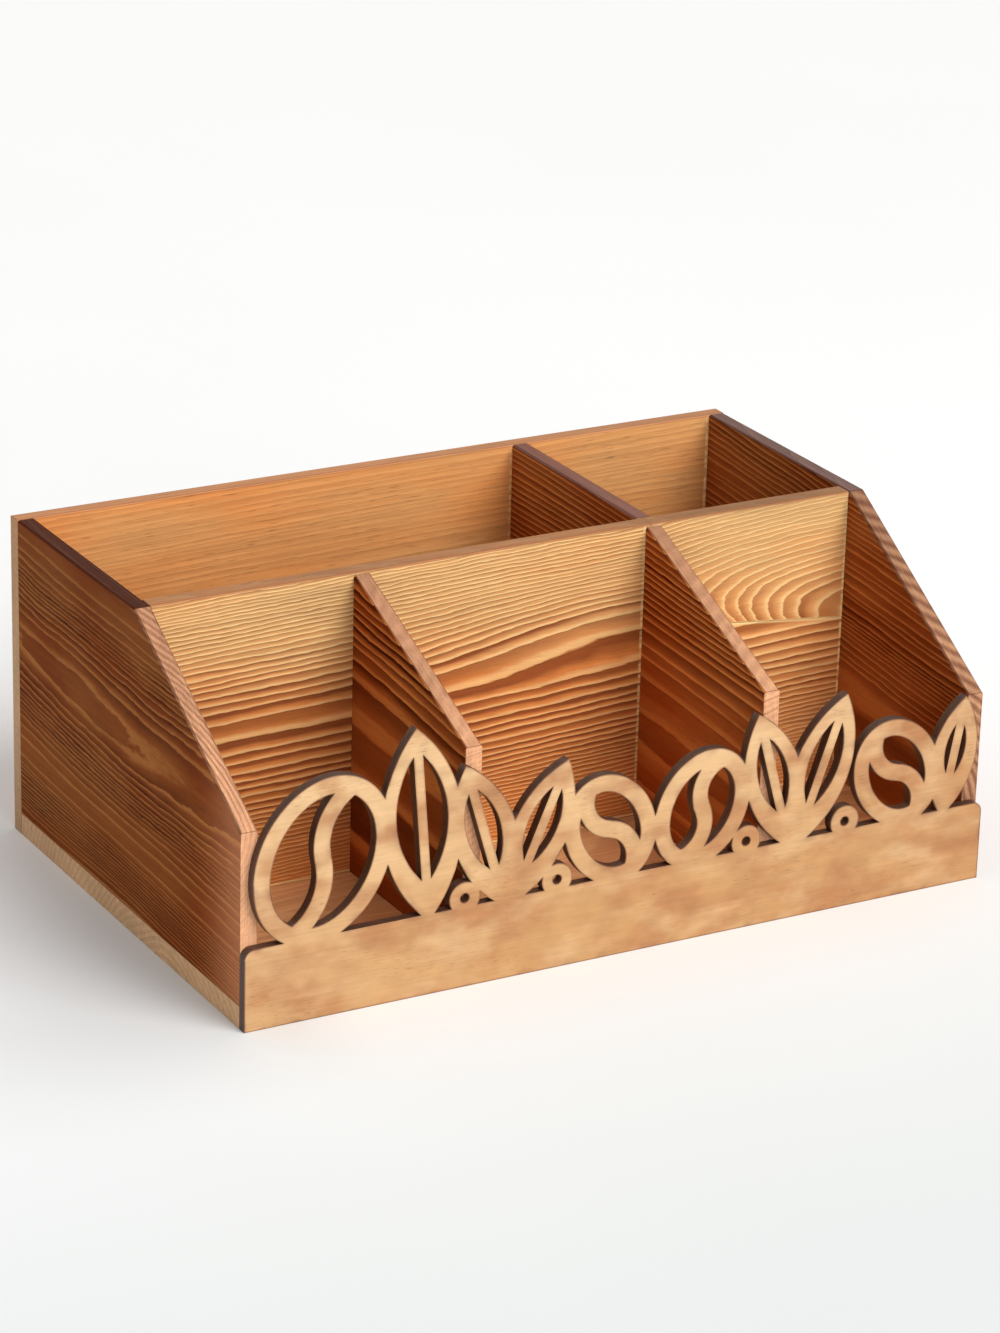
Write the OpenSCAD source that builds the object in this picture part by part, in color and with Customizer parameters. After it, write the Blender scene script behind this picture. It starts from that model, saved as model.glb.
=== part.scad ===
// Countertop coffee station organizer: a wooden caddy with three front bays, two rear bays
// and a laser-cut fretwork front board.
// Millimetres, +Z up, front towards -Y, origin under the middle of the footprint.

/* [Overall] */
// Width over the two sides
body_w = 320; // [240:1:420]
// Depth from the front board's face to the back panel's rear face
body_d = 208; // [160:1:280]
// Height of the back, the middle wall and the rear half of the sides
body_h = 132; // [110:1:180]

/* [Boards] */
// Thickness of the bottom board
base_t = 9; // [6:0.5:14]
// Thickness of each side
side_t = 7; // [5:0.5:12]
// Thickness of the back panel
back_t = 7; // [5:0.5:12]
// Thickness of the middle wall between the front and rear bays
wall_t = 8; // [5:0.5:12]
// Thickness of the dividers
divider_t = 7; // [5:0.5:12]
// Thickness of the plywood front board
fascia_t = 4; // [3:0.5:6]
// Sanded arris along the top edges
arris = 0.6; // [0.2:0.1:1.2]

/* [Bays] */
// Clear depth of the three front bays
front_bay_d = 90; // [60:1:120]
// Clear width of the front left bay
left_bay_w = 84; // [60:1:110]
// Clear width of the front middle bay
middle_bay_w = 121; // [80:1:140]

/* [Slopes] */
// Height of the front end of each side
side_front_h = 77; // [50:1:100]
// Height of the front end of each front divider
divider_front_h = 94; // [60:1:105]
// How far the front dividers stop below the top of the middle wall
divider_drop = 1; // [0:0.5:4]

/* [Front board] */
// Height of the plain strip of the front board
strip_h = 32.5; // [20:0.5:45]
// Radius of the strip's two upper corners
strip_corner_r = 4; // [1:0.5:8]
// Width of the outline round each bean
bean_stroke_w = 7; // [4:0.5:10]
// Width of the S-shaped crease across each bean
crease_w = 7; // [4:0.5:10]
// How far the crease swings off the bean's axis
crease_sway = 5; // [2:0.25:7]
// Width of the outline round each leaf
leaf_stroke_w = 6; // [4:0.5:9]
// Width of the midrib down each leaf
rib_w = 4; // [2.5:0.5:6]
// Radius of a coffee cherry
cherry_r = 6.5; // [4:0.25:9]
// Radius of the eye in a cherry
cherry_eye_r = 1.8; // [1:0.1:3]
// Depth that the motifs root into the strip
root_in = 3; // [2:0.5:6]

/* [Brads] */
// Shank diameter
brad_d = 1.2; // [1:0.1:1.6]
// Length over the head
brad_len = 20; // [16:1:25]
// Head diameter
brad_head_d = 2.2; // [2:0.1:3]
// Head thickness
brad_head_t = 0.6; // [0.4:0.1:1]
// Depth of each head below the wood's surface
brad_set = 0.4; // [0.2:0.1:1]
// Clearance round a brad in its hole
brad_gap = 0.1; // [0.05:0.05:0.2]
// Distance of the end brads from the end of a joint
brad_end = 22; // [16:1:32]
// Brads along each side from below
brads_side = 4; // [3:1:5]
// Brads along the middle wall from below
brads_wall = 4; // [3:1:6]
// Brads in each divider's bottom edge
brads_divider = 2; // [2:1:3]
// Brads up each joint with the back panel and the middle wall
brads_up = 3; // [2:1:4]
// Brads from the back panel into the bottom board
brads_back = 4; // [3:1:6]

/* [Hidden] */
$fn = 64;

// The frame's planes, front to back
front_y = -body_d / 2;
fascia_y = front_y + fascia_t;
wall_y = fascia_y + front_bay_d;
rear_bay_y = wall_y + wall_t;
back_y = body_d / 2 - back_t;
rear_y = body_d / 2;
// The planes from left to right
left_x = -body_w / 2;
right_x = body_w / 2;
inner_l = left_x + side_t;
inner_r = right_x - side_t;
inner_w = inner_r - inner_l;
div_l = inner_l + left_bay_w;
div_r = div_l + divider_t + middle_bay_w;
divider_top = body_h - divider_drop;
base_d = back_y - fascia_y;
hole_d = brad_d + 2 * brad_gap;
recess_d = brad_head_d + 2 * brad_gap;
recess_t = brad_head_t + brad_set;

// Even positions from a to b, both ends kept clear by the brads' end distance
function spread(n, a, b) = [for (i = [0:n - 1]) a + brad_end + i * (b - a - 2 * brad_end) / (n - 1)];

// Where the brads go: points of entry on the face that takes the head
side_ys = spread(brads_side, fascia_y, back_y);
front_ys = spread(brads_divider, fascia_y, wall_y);
rear_ys = spread(brads_divider, rear_bay_y, back_y);
wall_xs = spread(brads_wall, inner_l, inner_r);
back_xs = spread(brads_back, left_x + brad_end, right_x - brad_end);
joint_zs = spread(brads_up, base_t, body_h);
front_zs = spread(brads_up, base_t, divider_front_h);
wall_mid_y = wall_y + wall_t / 2;
div_l_mid = div_l + divider_t / 2;
div_r_mid = div_r + divider_t / 2;
below = concat(
  [for (y = side_ys) [left_x + side_t / 2, y]],
  [for (y = side_ys) [right_x - side_t / 2, y]],
  [for (x = wall_xs) [x, wall_mid_y]],
  [for (y = front_ys) [div_l_mid, y]],
  [for (y = front_ys) [div_r_mid, y]],
  [for (y = rear_ys) [div_r_mid, y]]
);
behind = concat(
  [for (z = joint_zs) [left_x + side_t / 2, z]],
  [for (z = joint_zs) [right_x - side_t / 2, z]],
  [for (z = joint_zs) [div_r_mid, z]],
  [for (x = back_xs) [x, base_t / 2]]
);
through_wall = concat(
  [for (z = front_zs) [div_l_mid, z]],
  [for (z = front_zs) [div_r_mid, z]]
);

// A brad with its head's outer face at the origin's level plus its set, driven along +Z
module brad() {
  translate([0, 0, brad_set]) {
    cylinder(d = brad_head_d, h = brad_head_t);
    cylinder(d = brad_d, h = brad_len);
  }
}

// What a brad needs cut: the head's recess and the shank's hole with its clearance
module brad_hole() {
  over = 1;
  translate([0, 0, -over]) cylinder(d = recess_d, h = recess_t + over);
  cylinder(d = hole_d, h = brad_set + brad_len + brad_gap);
}

module from_below() {
  for (p = below) translate([p[0], p[1], 0]) children();
}

module from_behind() {
  for (p = behind) translate([p[0], rear_y, p[1]]) rotate([90, 0, 0]) children();
}

module from_wall() {
  for (p = through_wall) translate([p[0], rear_bay_y, p[1]]) rotate([90, 0, 0]) children();
}

// A board that runs along X, with its arris taken off both top edges
module cross_board(x0, x1, y0, t, z0, z1) {
  translate([x0, y0, 0]) rotate([90, 0, 90]) linear_extrude(x1 - x0)
    polygon([[0, z0], [t, z0], [t, z1 - arris], [t - arris, z1], [arris, z1], [0, z1 - arris]]);
}

// Takes the arris off both faces of a board that stands along Y, from p to q in (y, z)
module ease_edges(x0, t, p, q) {
  run = norm(q - p);
  tilt = atan2(q[1] - p[1], q[0] - p[0]);
  for (x = [x0, x0 + t]) {
    translate([x, p[0], p[1]]) rotate([tilt, 0, 0]) rotate([-90, 0, 0]) rotate(45)
      translate([-arris / sqrt(2), -arris / sqrt(2), -arris])
        cube([arris * sqrt(2), arris * sqrt(2), run + 2 * arris]);
  }
}

// A side, whose front half slopes down from the middle wall's face
module side_board(x0) {
  foot = [fascia_y, side_front_h];
  knee = [wall_y, body_h];
  heel = [back_y, body_h];
  difference() {
    translate([x0, 0, 0]) rotate([90, 0, 90]) linear_extrude(side_t)
      polygon([[fascia_y, base_t], foot, knee, heel, [back_y, base_t]]);
    ease_edges(x0, side_t, foot, knee);
    ease_edges(x0, side_t, knee, heel);
    from_below() brad_hole();
    from_behind() brad_hole();
  }
}

module front_divider(x0) {
  foot = [fascia_y, divider_front_h];
  knee = [wall_y, divider_top];
  difference() {
    translate([x0, 0, 0]) rotate([90, 0, 90]) linear_extrude(divider_t)
      polygon([[fascia_y, base_t], foot, knee, [wall_y, base_t]]);
    ease_edges(x0, divider_t, foot, knee);
    from_below() brad_hole();
    from_wall() brad_hole();
  }
}

// The front board's fretwork: open coffee beans, leaves and cherries that stand on the strip.
// Each place is a share of the way along the board, so that the row spreads with its width.
// Beans as [place, length, width, lean]
beans = [
  [0.098, 67, 54, -24],
  [0.473, 47, 38, 28],
  [0.598, 49, 40, -26],
  [0.872, 47, 38, 28]
];
// Leaves as [place, direction, length, width]
leaves = [
  [0.235, 95, 78, 33],
  [0.335, 107, 62, 26],
  [0.342, 67, 59, 25],
  [0.723, 106, 60, 25],
  [0.731, 71, 63, 26],
  [0.940, 80, 50, 21]
];
// Cherries by their places
cherries = [0.281, 0.403, 0.661, 0.800];

// The radius of an arc that spans run and bulges by sway
function arc_r(run, sway) = (run * run / 4 + sway * sway) / (2 * sway);

// One cut shape of the plywood, from its outline
module ply(t = fascia_t) {
  linear_extrude(t) children();
}

// A band of width w along an arc from the origin to [run, 0]
module arc_band(run, sway, w) {
  r = arc_r(run, sway);
  hub = [run / 2, sway - r];
  reach = 3;
  intersection() {
    translate(hub) difference() {
      circle(r + w / 2);
      circle(r - w / 2);
    }
    polygon([hub, hub - reach * hub, hub + reach * ([run, 0] - hub)]);
  }
}

// The pointed oval that two arcs enclose, from the origin to [len, 0]
module lens(len, wid) {
  r = arc_r(len, wid / 2);
  lift = r - wid / 2;
  intersection() {
    translate([len / 2, -lift]) circle(r);
    translate([len / 2, lift]) circle(r);
  }
}

// A leaf with an open window on each side of its midrib
module leaf(len, wid) {
  butt = leaf_stroke_w * 2.5;
  tip = leaf_stroke_w * 1.5;
  difference() {
    lens(len, wid);
    difference() {
      translate([butt, 0]) lens(len - butt - tip, wid - 2 * leaf_stroke_w);
      translate([0, -rib_w / 2]) square([len, rib_w]);
    }
  }
}

module oval(len, wid) {
  scale([wid / len, 1]) circle(len / 2);
}

// A coffee bean's outline with the S-shaped crease across its opening
module bean(len, wid) {
  difference() {
    oval(len, wid);
    difference() {
      oval(len - 2 * bean_stroke_w, wid - 2 * bean_stroke_w);
      for (a = [90, 270]) rotate(a) arc_band((len - bean_stroke_w) / 2, crease_sway, crease_w);
    }
  }
}

module cherry() {
  difference() {
    circle(cherry_r);
    circle(cherry_eye_r);
  }
}

// The height of a leaning oval's lowest point below its centre
function oval_drop(len, wid, lean) = norm([len / 2 * cos(lean), wid / 2 * sin(lean)]);

module strip() {
  r = strip_corner_r;
  ply() square([body_w, strip_h - r]);
  ply() translate([r, 0]) square([body_w - 2 * r, strip_h]);
  for (x = [r, body_w - r]) ply() translate([x, strip_h - r]) circle(r);
}

module fretwork() {
  for (b = beans)
    translate([b[0] * body_w, strip_h - root_in + oval_drop(b[1], b[2], b[3])])
      rotate(b[3]) ply() bean(b[1], b[2]);
  for (l = leaves)
    ply() intersection() {
      translate([l[0] * body_w, strip_h - root_in]) rotate(l[1]) leaf(l[2], l[3]);
      translate([0, strip_h - root_in / 2]) square([body_w, body_h]);
    }
  for (c = cherries)
    translate([c * body_w, strip_h - root_in + cherry_r]) ply() cherry();
}

module base_board() {
  color("#c79a62") difference() {
    translate([left_x, fascia_y, 0]) cube([body_w, base_d, base_t]);
    from_below() brad_hole();
    from_behind() brad_hole();
  }
}

module back_panel() {
  color("#d39a55") difference() {
    cross_board(left_x, right_x, back_y, back_t, 0, body_h);
    from_behind() brad_hole();
  }
}

module left_side() {
  color("#7a4526") side_board(left_x);
}

module right_side() {
  color("#7a4526") side_board(right_x - side_t);
}

module middle_wall() {
  color("#dba65c") difference() {
    cross_board(inner_l, inner_r, wall_y, wall_t, base_t, body_h);
    from_below() brad_hole();
    from_wall() brad_hole();
  }
}

module rear_divider() {
  color("#7e3f22") difference() {
    translate([div_r, back_y, 0]) rotate([90, 0, 0]) linear_extrude(back_y - rear_bay_y)
      polygon([
        [0, base_t],
        [divider_t, base_t],
        [divider_t, body_h - arris],
        [divider_t - arris, body_h],
        [arris, body_h],
        [0, body_h - arris]
      ]);
    from_below() brad_hole();
    from_behind() brad_hole();
  }
}

module front_divider_left() {
  color("#7e3f22") front_divider(div_l);
}

module front_divider_right() {
  color("#7e3f22") front_divider(div_r);
}

module front_fascia() {
  color("#dca871") translate([left_x, fascia_y, 0]) rotate([90, 0, 0]) {
    strip();
    fretwork();
  }
}

module base_brads() {
  color("#8d8f92") from_below() brad();
}

module back_brads() {
  color("#8d8f92") from_behind() brad();
}

module wall_brads() {
  color("#8d8f92") from_wall() brad();
}

base_board();
back_panel();
left_side();
right_side();
middle_wall();
rear_divider();
front_divider_left();
front_divider_right();
front_fascia();
base_brads();
back_brads();
wall_brads();
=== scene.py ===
"""Dresses the packed coffee station organizer in worn pine, laser-cut ply and steel."""

import math

import bmesh
import bpy
from bpy.props import FloatProperty, FloatVectorProperty, IntProperty, PointerProperty
from bpy.types import Operator, Panel, PropertyGroup
from mathutils import Matrix, Vector
from mathutils.bvhtree import BVHTree
from mathutils.geometry import delaunay_2d_cdt
from mathutils.kdtree import KDTree


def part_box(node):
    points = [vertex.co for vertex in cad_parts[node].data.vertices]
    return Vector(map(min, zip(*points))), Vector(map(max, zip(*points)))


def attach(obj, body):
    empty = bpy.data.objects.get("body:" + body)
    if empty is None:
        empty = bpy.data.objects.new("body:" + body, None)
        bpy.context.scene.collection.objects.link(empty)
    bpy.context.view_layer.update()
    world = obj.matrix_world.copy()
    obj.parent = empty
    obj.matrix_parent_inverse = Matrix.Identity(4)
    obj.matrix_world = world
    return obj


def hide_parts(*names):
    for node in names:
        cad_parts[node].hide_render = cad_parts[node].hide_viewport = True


bl_info = {
    "name": "Coffee caddy dresser",
    "version": (1, 0, 0),
    "blender": (4, 5, 0),
    "location": "View3D > Sidebar > Caddy",
    "description": "Dresses the boards, the fretwork and the brads of a wooden coffee caddy",
    "category": "Object",
}

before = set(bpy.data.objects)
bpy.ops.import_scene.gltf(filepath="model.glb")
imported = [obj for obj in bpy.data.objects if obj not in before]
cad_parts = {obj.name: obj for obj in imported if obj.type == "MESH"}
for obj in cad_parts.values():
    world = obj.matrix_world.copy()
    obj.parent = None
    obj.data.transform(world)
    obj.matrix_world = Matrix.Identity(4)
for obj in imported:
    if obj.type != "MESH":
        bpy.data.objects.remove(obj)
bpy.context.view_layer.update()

MM, TO_MM = 0.001, 1000
BODY = "root"


def paint(code):
    """The linear colour of a hex code."""
    parts = [int(code[i : i + 2], 16) / 255 for i in (0, 2, 4)]
    return [c / 12.92 if c <= 0.04045 else ((c + 0.055) / 1.055) ** 2.4 for c in parts]


def colour(name, description, code):
    """A setting that holds a colour, from its hex code."""
    return FloatVectorProperty(
        name=name, description=description, default=paint(code), subtype="COLOR", min=0, max=1
    )


def length(name, description, default, top):
    """A setting that holds a length in metres, up to a top value."""
    return FloatProperty(
        name=name, description=description, default=default, min=0, max=top,
        unit="LENGTH", precision=5,
    )


def share(name, description, default):
    """A setting that holds a share from 0 to 1."""
    return FloatProperty(
        name=name, description=description, default=default, min=0, max=1, subtype="FACTOR"
    )


def level(name, description, default, low=0):
    """A setting that holds a strength, or another plain number."""
    return FloatProperty(name=name, description=description, default=default, min=low)


# ---------------------------------------------------------------- settings


class CaddyPine(PropertyGroup):
    """Colours and sizes of the pine boards."""

    honey_crest: colour("Honey crest", "Palest line of a light board's rings", "FBDA98")
    honey_early: colour("Honey early wood", "Pale wood of the light boards", "E5B070")
    honey_late: colour("Honey late wood", "Ring lines of the light boards", "8E481A")
    honey_heart: colour("Honey heartwood", "Warm tint low on the light boards", "CE7C3A")
    honey_top: colour("Light top edge", "Oiled top edges of the light boards", "B87B4C")
    dark_crest: colour("Dark crest", "Palest line of a charred board's rings", "D28A48")
    dark_early: colour("Dark early wood", "Pale wood of the charred boards", "A8602E")
    dark_late: colour("Dark late wood", "Ring lines of the charred boards", "481804")
    dark_heart: colour("Dark heartwood", "Red tint of the charred boards", "8C4218")
    dark_top: colour("Dark top edge", "Oiled top edges of the charred boards", "5B352A")
    # painted reflection: this grey stands in for the white sky reflected on the upward top edges
    ash: colour("Ash", "Grey of the weathered top edges", "857C78")
    sawn: colour("Fresh cut", "Wood where the slopes were sawn", "DAA27A")
    sawn_late: colour("Fresh cut ring line", "Ring lines on the sawn slopes", "84503C")
    end: colour("End grain", "Ends of the light boards", "D0A67B")
    end_late: colour("End grain ring line", "Ring lines on the light boards' ends", "AA7F58")
    arris: length("Worn arris", "Width of the rounding on the boards' edges", 0.00022, 0.001)
    relief: length("Grain relief", "Height of the brushed ring lines", 0.0004, 0.002)
    oil: share("Oil", "Gloss of the oiled light boards", 0.3)
    soot_oil: share("Oil on char", "Gloss of the oiled charred boards", 0.02)


class CaddyPly(PropertyGroup):
    """Colours and sizes of the cut plywood front."""

    face: colour("Face veneer", "Veneer of the front board", "B28451")
    pale: colour("Pale veneer", "Veneer higher up the front board", "C9A375")
    warm: colour("Warm cloud", "Orange clouds in the veneer", "A16A3C")
    pore: colour("Pore", "Short dark pores in the veneer", "7E4E2A")
    char: colour("Char", "Laser-cut walls", "33231A")
    scorch: colour("Scorch", "Brown rim beside a cut", "6A3C1C")
    arris: length("Cut arris", "Rounding on the cut edges", 0.00014, 0.001)
    rim: length("Scorched rim", "Width of the brown rim on the face", 0.0008, 0.003)
    spacing: length("Face spacing", "Distance between the face's inner points", 0.0026, 0.02)


class CaddyBrad(PropertyGroup):
    """Sizes and colours of the brads."""

    shank: length("Shank", "Diameter of the shank", 0.0012, 0.005)
    head: length("Head", "Diameter of the head", 0.0022, 0.01)
    head_t: length("Head thickness", "Thickness of the head", 0.0006, 0.003)
    steel: colour("Steel", "Bright steel of the brads", "B9BABD")
    dull: colour("Dull steel", "Steel where dust has settled", "77746F")
    sides: IntProperty(
        name="Sides", description="Facets round a brad", default=24, min=8, max=48
    )


class CaddyStage(PropertyGroup):
    """The floor, the lights and the camera."""

    floor: colour("Floor", "Plain pale floor", "F9F9F8")
    # painted shade: towards the camera the floor is painted darker, and cooler against the
    # caddy's warm bounce light
    near: colour("Floor in front", "The floor's shade in front of the caddy", "DCDFDE")
    sun: level("Sun", "Strength of the soft sun", 2.06)
    box: level("Softbox", "Watts of the front softbox", 15)
    sky: level("Sky", "Strength of the white surround", 0.56)
    lens: level("Lens", "Focal length in mm", 124.69, 10)


# ---------------------------------------------------------------- shader sums


class Amount:
    """A number socket of a node tree that takes part in plain sums."""

    def __init__(self, tree, socket):
        self.tree, self.socket = tree, socket

    def math(self, operation, *items, clamp=False):
        """The result of a Math node on sockets or numbers."""
        node = self.tree.nodes.new("ShaderNodeMath")
        node.operation, node.use_clamp = operation, clamp
        for place, item in zip(node.inputs, items):
            join(self.tree, item, place)
        return Amount(self.tree, node.outputs[0])

    def __add__(self, other):
        return self.math("ADD", self, other)

    def __sub__(self, other):
        return self.math("SUBTRACT", self, other)

    def __rsub__(self, other):
        return self.math("SUBTRACT", other, self)

    def __mul__(self, other):
        return self.math("MULTIPLY", self, other)

    def __truediv__(self, other):
        return self.math("DIVIDE", self, other)

    def __neg__(self):
        return self.math("MULTIPLY", self, -1)

    def __abs__(self):
        return self.math("ABSOLUTE", self)

    __radd__, __rmul__ = __add__, __mul__

    def floor(self):
        return self.math("FLOOR", self)

    def root(self):
        return self.math("SQRT", self)

    def sine(self):
        return self.math("SINE", self)

    def clamped(self):
        """The number, held between 0 and 1."""
        return self.math("ADD", self, 0, clamp=True)

    def smooth(self, low, high):
        """0 below low, 1 above high, and an even turn between them."""
        node = self.tree.nodes.new("ShaderNodeMapRange")
        node.interpolation_type = "SMOOTHSTEP"
        for name, item in (("Value", self), ("From Min", low), ("From Max", high)):
            join(self.tree, item, node.inputs[name])
        return Amount(self.tree, node.outputs["Result"])

    def band(self, low, high):
        """1 below low, 0 above high, and an even turn between them."""
        return 1 - self.smooth(low, high)


def join(tree, item, place):
    """Links or sets one input of a node."""
    if isinstance(item, Amount):
        tree.links.new(item.socket, place)
    elif hasattr(item, "__len__"):
        place.default_value = [*item][:3] + [1] * (len(place.default_value) - 3)
    else:
        place.default_value = item


class Finish:
    """One material, built node by node."""

    def __init__(self, name):
        self.material = bpy.data.materials.new(name)
        self.material.use_nodes = True
        self.tree = self.material.node_tree
        self.shader = self.tree.nodes["Principled BSDF"]

    def node(self, kind, settings=None, inputs=None, output=0):
        """A node of a type, with its settings made first and its inputs then set or linked."""
        made = self.tree.nodes.new("ShaderNode" + kind)
        for name, setting in (settings or {}).items():
            setattr(made, name, setting)
        for name, item in (inputs or {}).items():
            join(self.tree, item, made.inputs[name])
        return Amount(self.tree, made.outputs[output])

    def parts(self, kind, inputs):
        """All outputs of a node that splits a vector or a colour."""
        split = self.node(kind, inputs=inputs)
        return [Amount(self.tree, socket) for socket in split.socket.node.outputs]

    def place(self):
        """The object's own coordinates in millimetres."""
        at = self.node("TexCoord", output="Object")
        return [part / MM for part in self.parts("SeparateXYZ", {"Vector": at})]

    def noise(self, x, y, z, detail, roughness=0.5, output="Fac"):
        """Soft noise round 0.5, whose features are as wide as its inputs' unit."""
        inputs = {
            "Vector": self.node("CombineXYZ", inputs={"X": x, "Y": y, "Z": z}),
            "Scale": 1.0, "Detail": detail, "Roughness": roughness,
        }
        return self.node("TexNoise", {"noise_dimensions": "3D"}, inputs, output)

    def line_noise(self, w, detail):
        """Soft noise along one number."""
        inputs = {"W": w, "Scale": 1.0, "Detail": detail}
        return self.node("TexNoise", {"noise_dimensions": "1D"}, inputs, "Fac")

    def chance(self, w):
        """An even random number for each whole number."""
        return self.node("TexWhiteNoise", {"noise_dimensions": "1D"}, {"W": w}, "Value")

    def mix(self, factor, a, b):
        """One colour laid over another."""
        return self.node("Mix", {"data_type": "RGBA"}, {0: factor, 6: a, 7: b}, 2)

    def shade(self, picture, factor):
        """A colour made lighter or darker by a number."""
        return self.node("VectorMath", {"operation": "SCALE"}, {0: picture, "Scale": factor})

    def mark(self, name):
        """A number stored on the mesh."""
        return self.node("Attribute", {"attribute_name": name}, output="Fac")

    def bump(self, height, distance, strength):
        """Relief of a height in metres."""
        inputs = {"Height": height, "Distance": distance, "Strength": strength}
        return self.node("Bump", inputs=inputs)

    def finish(self, surface, **fixed):
        """Feeds the shader with what varies, and sets what doesn't."""
        for name, item in surface.items():
            join(self.tree, item, self.shader.inputs[name])
        for name, item in fixed.items():
            self.shader.inputs[name.replace("_", " ")].default_value = item
        return self.material


# ---------------------------------------------------------------- wood


class Log:
    """How the wood of one board is figured. Lengths are in millimetres. A place on the board is
    given by g along its fibres, u level across them, which is through an upright board, and v
    upwards. An entry with a star may be a function of g and v instead of a number."""

    seed = 0.0  # shifts every noise, so that no two boards are alike
    pitch = 2.6  # distance between two rings
    sway = 4.0  # how far the pith wanders
    ripple = 0.7  # how far a ring shivers along the board
    vary = 1.6  # how unevenly the rings are spaced, counted in rings
    crowds = None  # where rings crowd together: how many, how often and round which radius
    calm = 0.7  # how plain the wood is between the crowds
    bend = None  # a function of g and v that is added to a ring's radius
    patchy = 0.5  # share of the ring lines that comes and goes in patches
    contrast = 1.0  # * strength of the ring lines
    crest_share = 1.0  # strength of the pale crests
    warmth = None  # a function of g, u and v for the share of the warm tint
    glint = None  # a function of g and v for the share of a pale line, which along the middle wall's foot is a painted highlight
    wash = None  # a function of g and v for the share of a pale wash, which on the left side is painted light
    seams = ()  # painted highlights: where along the fibres a crosswise board meets this one, a dotted pale line, with its share
    seam_face = 0.0  # the painted highlights at the joints show where u is less than this
    flecks = 0.22  # strength of the short dark flecks
    tone = 1.0  # * brightness of the long faces
    top_tone = 1.0  # share of painted sheen on the top edge: grey standing in for the sky's reflection
    ash = 0.0  # share of grey on the top edge
    end_tone = 1.0  # brightness of the sawn ends
    end_rings = 0.7  # * strength of the rings on the sawn ends
    end_pitch = 2.4  # distance between two rings on the sawn ends
    age = (80, 140, 0.5)  # heights between which the sawn ends darken, and by what share

    def __init__(self, heart, **figure):
        """heart gives the pith's place across the board, as a function of g and v."""
        self.heart = heart
        for name, entry in figure.items():
            if not hasattr(self, name):
                raise TypeError(f"a log has no {name}")
            setattr(self, name, entry)


def at(entry, *place):
    """The entry of a log at a place on the board."""
    return entry(*place) if callable(entry) else entry


def wave(radius, spacing, shift=0.0):
    """A sine wave of a radius, with its phase shifted by a number of radians."""
    return (radius * (math.tau / spacing) + shift).sine()


def rings(f, log, g, u, v):
    """A place's distance from the pith, its ring's number, its place within the ring, and how
    dense the rings are there."""
    heart_u, heart_v = log.heart(g, v)
    wander = f.noise(g * 0.006 + log.seed, u * 0.016, v * 0.016, 1.0, output="Color")
    sways = f.parts("SeparateColor", {"Color": wander})
    du = u - heart_u + (sways[0] - 0.5) * (2 * log.sway)
    dv = v - heart_v + (sways[1] - 0.5) * (2 * log.sway)
    shiver = f.noise(g * 0.035 + log.seed, u * 0.10, v * 0.13, 3.0, 0.6) - 0.5
    rough = f.noise(g * 0.16, u * 0.9 + log.seed, v * 0.9, 1.0, 0.5) - 0.5
    radius = (du * du + dv * dv).root() + shiver * log.ripple + rough * 0.45
    if log.bend:
        radius = radius + log.bend(g, v)
    uneven = f.line_noise(radius * 0.06 + log.seed * 3.1, 2.0) - 0.5
    turns = radius / log.pitch + uneven * (2 * log.vary)
    crowd = 1.0
    if log.crowds:
        swell, spacing, centre = log.crowds
        turns = turns + wave(radius - centre, spacing) * swell
        crowd = wave(radius - centre, spacing, math.pi / 2) * (log.calm / 2) + (1 - log.calm / 2)
    ring = turns.floor()
    return radius, ring, turns - ring, crowd


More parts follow.
